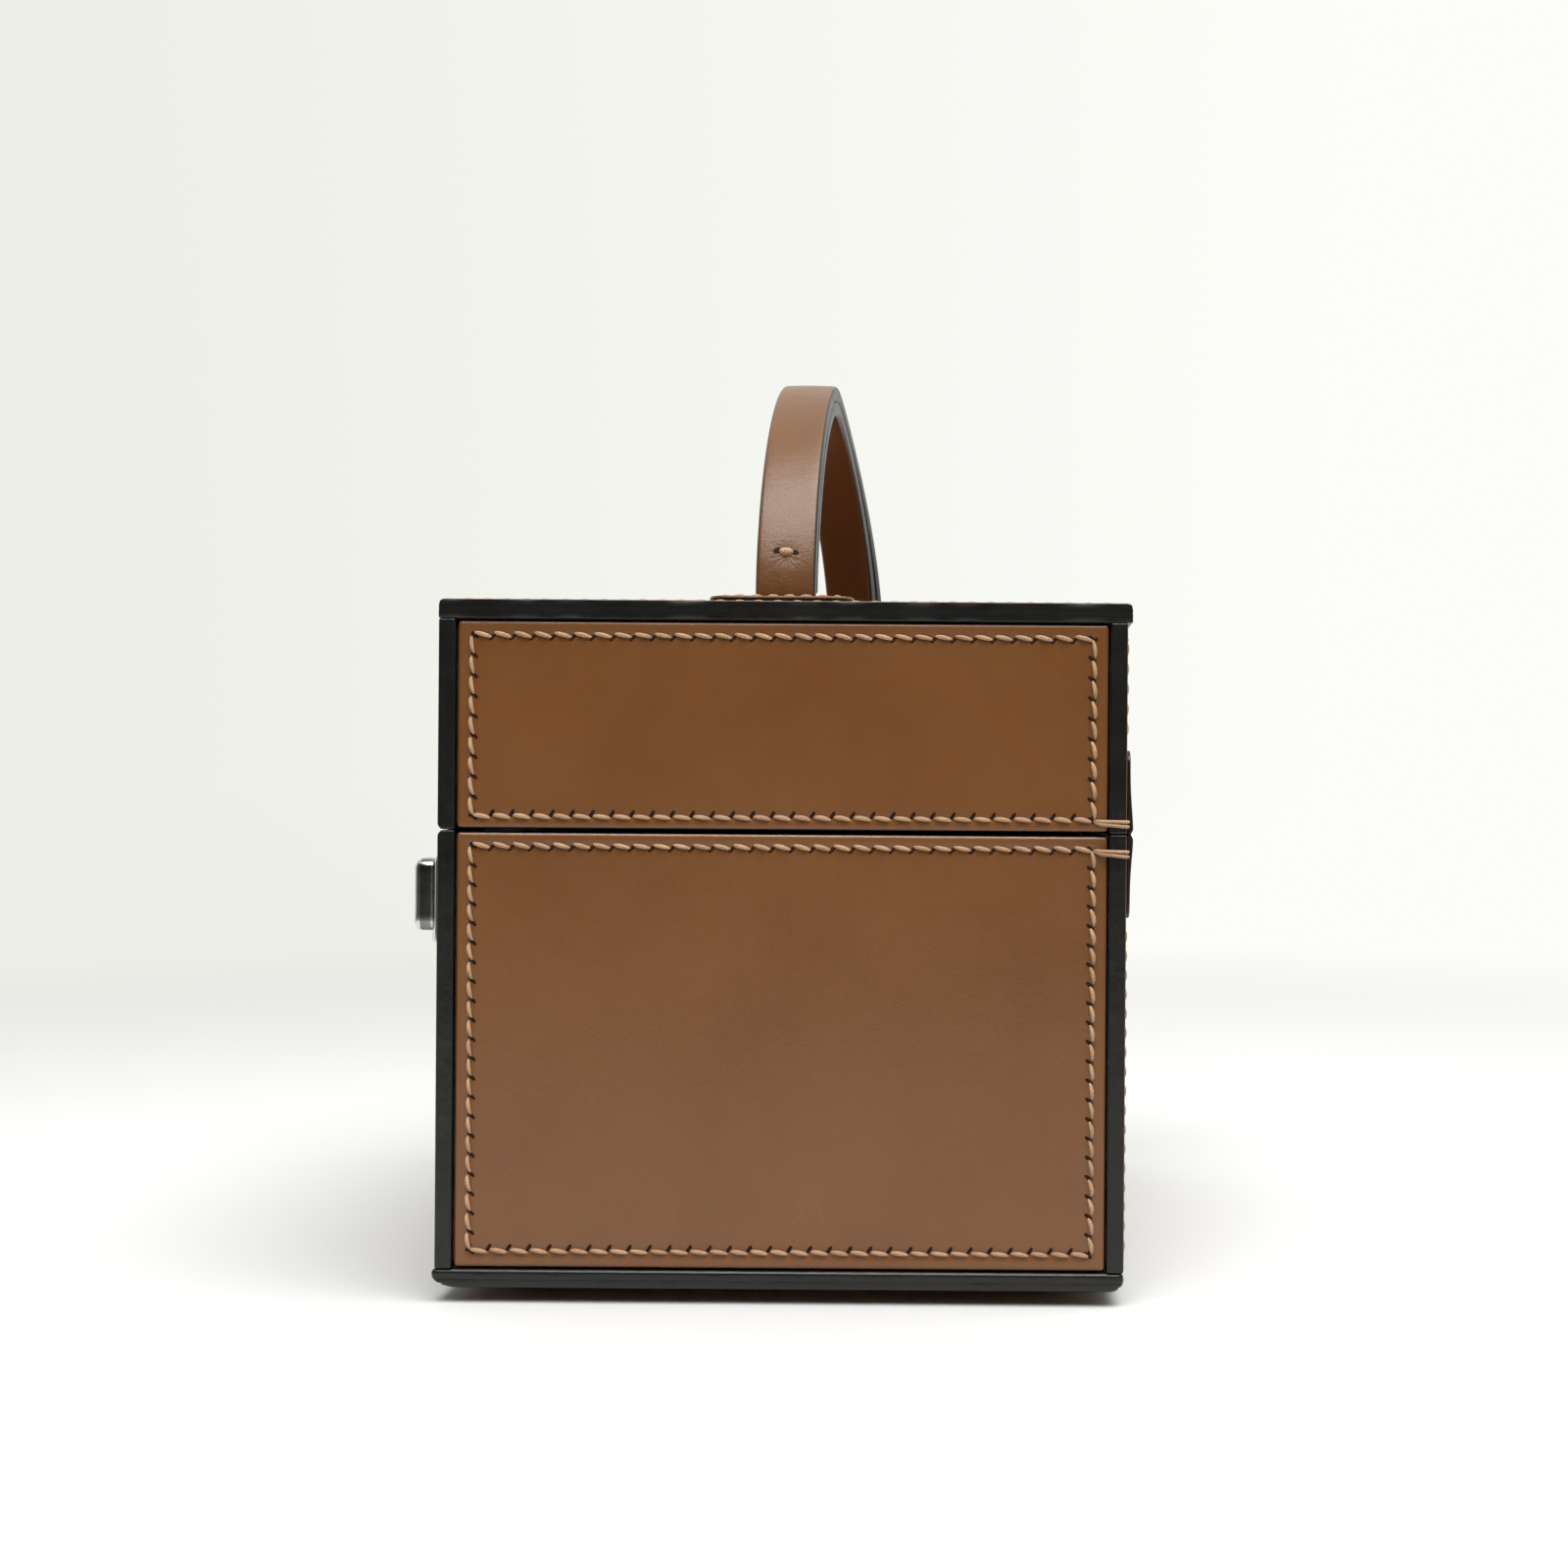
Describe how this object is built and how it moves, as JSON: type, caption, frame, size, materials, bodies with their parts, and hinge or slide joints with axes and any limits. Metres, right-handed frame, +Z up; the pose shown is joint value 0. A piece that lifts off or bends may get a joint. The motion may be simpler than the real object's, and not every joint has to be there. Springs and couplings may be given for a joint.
{
  "type": "box bag",
  "caption": "Stiff leather box bag with a lid hinged along the back, sliding front latches and a doubled strap loop handle.",
  "frame": {"origin": "centre of the footprint, on the plane that the feet stand on", "axes": "+Z up, X along the handle from end to end, -Y towards the front with the latches, +Y towards the hinge"},
  "size_m": [0.18, 0.178, 0.243],
  "materials": {
    "panel_leather": "smooth brown, semi-matt, edges painted black",
    "strap_leather": "smooth brown, edges painted black",
    "hinge_leather": "smooth near-black",
    "latch_metal": "polished silver",
    "foot_rubber": "matt black"
  },
  "bodies": {
    "base": {"base_bottom": "panel_leather", "base_front": "panel_leather", "base_back": "panel_leather", "base_end_near": "panel_leather", "base_end_far": "panel_leather", "hinge_leaf_lower": "hinge_leather", "latch_plate_near": "latch_metal", "latch_plate_far": "latch_metal", "foot_front_near": "foot_rubber", "foot_front_far": "foot_rubber", "foot_back_near": "foot_rubber", "foot_back_far": "foot_rubber"},
    "lid": {"lid_top": "panel_leather", "lid_front": "panel_leather", "lid_back": "panel_leather", "lid_end_near": "panel_leather", "lid_end_far": "panel_leather", "hinge_leaf_upper": "hinge_leather", "latch_catch_near": "latch_metal", "latch_catch_far": "latch_metal", "handle_strap": "strap_leather", "handle_grip": "strap_leather", "handle_patch_near": "strap_leather", "handle_patch_far": "strap_leather"},
    "knob_near": {"latch_knob_near": "latch_metal"},
    "knob_far": {"latch_knob_far": "latch_metal"}
  },
  "joints": [
    {"name": "lid_hinge", "type": "hinge", "parent": "base", "child": "lid", "pos_m": [0, 0.08875, 0.116], "axis": [-1, 0, 0], "range_deg": [0, 105]},
    {"name": "latch_slide_near", "type": "slide", "parent": "base", "child": "knob_near", "axis": [0, 0, -1], "range_m": [0, 0.003], "stiffness_N_per_m": 300, "springref_m": -0.003},
    {"name": "latch_slide_far", "type": "slide", "parent": "base", "child": "knob_far", "axis": [0, 0, -1], "range_m": [0, 0.003], "stiffness_N_per_m": 300, "springref_m": -0.003}
  ]
}
